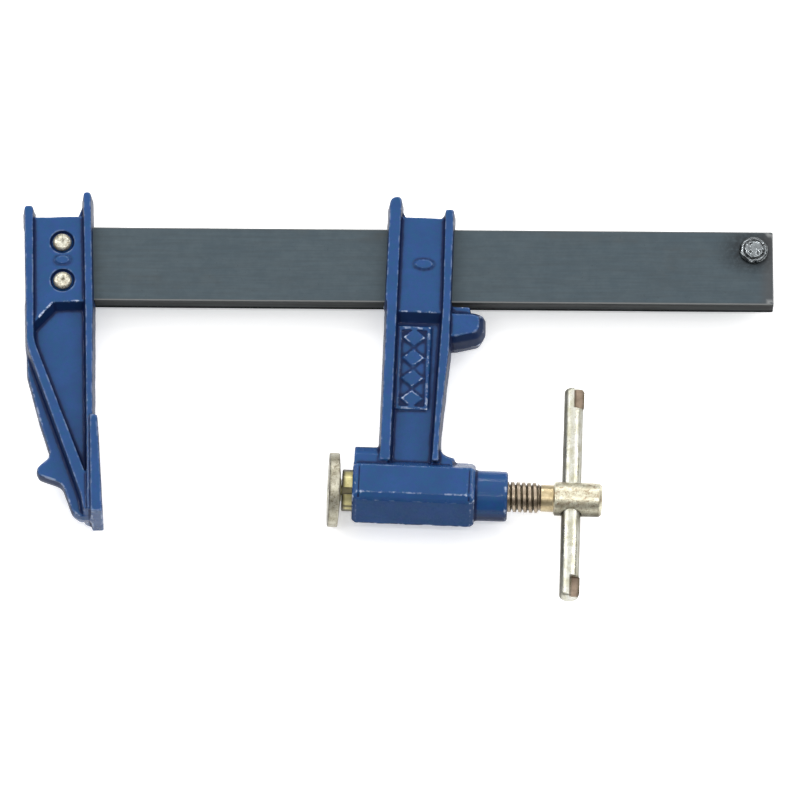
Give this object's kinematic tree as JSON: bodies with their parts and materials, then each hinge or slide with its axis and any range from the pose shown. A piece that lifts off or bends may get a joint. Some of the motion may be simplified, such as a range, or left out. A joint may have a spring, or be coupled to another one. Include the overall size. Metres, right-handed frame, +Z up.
{
  "type": "f clamp",
  "caption": "Heavy pump-type F clamp: flat rail, riveted fixed jaw, sliding jaw with a screw-driven plunger, swivel pad and sliding bar handle.",
  "frame": {"origin": "under the middle of the clamp's box, at the height of the surface that it lies on", "axes": "+X along the rail from the fixed jaw to the stop rivet, +Y from the jaws' tips to the rail, +Z up through the thickness, with the clamp lying on its side"},
  "size_m": [0.3864, 0.2194, 0.038],
  "materials": {
    "blue_enamel": "glossy enamel over a sand casting",
    "mill_scale_steel": "dark mill scale with long scratches",
    "yellow_zinc": "yellow passivated zinc plate",
    "pale_rivet_steel": "pale plated steel with small pits",
    "dark_rivet_steel": "hammered dark steel",
    "brown_oiled_steel": "oiled turned steel with worn plating",
    "zinc_bar_steel": "zinc plate, brown where the ends are pressed",
    "bright_steel": "bright ground steel"
  },
  "bodies": {
    "rail": {"rail": "mill_scale_steel", "fixed_jaw": "blue_enamel", "fixed_jaw_rivet_upper": "pale_rivet_steel", "fixed_jaw_rivet_lower": "pale_rivet_steel", "stop_rivet": "dark_rivet_steel"},
    "sliding_jaw": {"sliding_jaw": "blue_enamel", "guide_key": "bright_steel"},
    "plunger": {"plunger": "yellow_zinc", "retaining_pin_upper": "bright_steel", "retaining_pin_lower": "bright_steel", "thrust_washer": "bright_steel", "pad_rivet": "yellow_zinc"},
    "spindle": {"spindle": "brown_oiled_steel"},
    "tommy_bar": {"tommy_bar": "zinc_bar_steel"},
    "swivel_washer": {"pad_washer": "yellow_zinc"},
    "pad": {"pad": "yellow_zinc"}
  },
  "joints": [
    {"name": "jaw_slide", "type": "slide", "parent": "rail", "child": "sliding_jaw", "axis": [1, 0, 0], "range_m": [-0.087, 0.1455]},
    {"name": "pump_slide", "type": "slide", "parent": "sliding_jaw", "child": "plunger", "axis": [-0.9994, 0.0349, 0], "range_m": [-0.0046, 0.0226]},
    {"name": "spindle_turn", "type": "hinge", "parent": "plunger", "child": "spindle", "pos_m": [0.01804, -0.05291, 0.01901], "axis": [-0.9994, 0.0349, 0], "range_deg": [-588, 2944]},
    {"name": "tommy_slide", "type": "slide", "parent": "spindle", "child": "tommy_bar", "axis": [0.0262, 0.9997, 0], "range_m": [-0.039, 0.033]},
    {"name": "pad_spin", "type": "hinge", "parent": "plunger", "child": "swivel_washer", "pos_m": [-0.03123, -0.05119, 0.01901], "axis": [0.9994, -0.0349, 0], "continuous": true},
    {"name": "pad_tilt", "type": "hinge", "parent": "swivel_washer", "child": "pad", "pos_m": [-0.03123, -0.05119, 0.01901], "axis": [0.0321, 0.9199, 0.3907], "range_deg": [-7.8, 2.2]}
  ],
  "couplings": [
    {"joint": "pump_slide", "follows": "spindle_turn", "m_per_rad": 0.00043768}
  ]
}
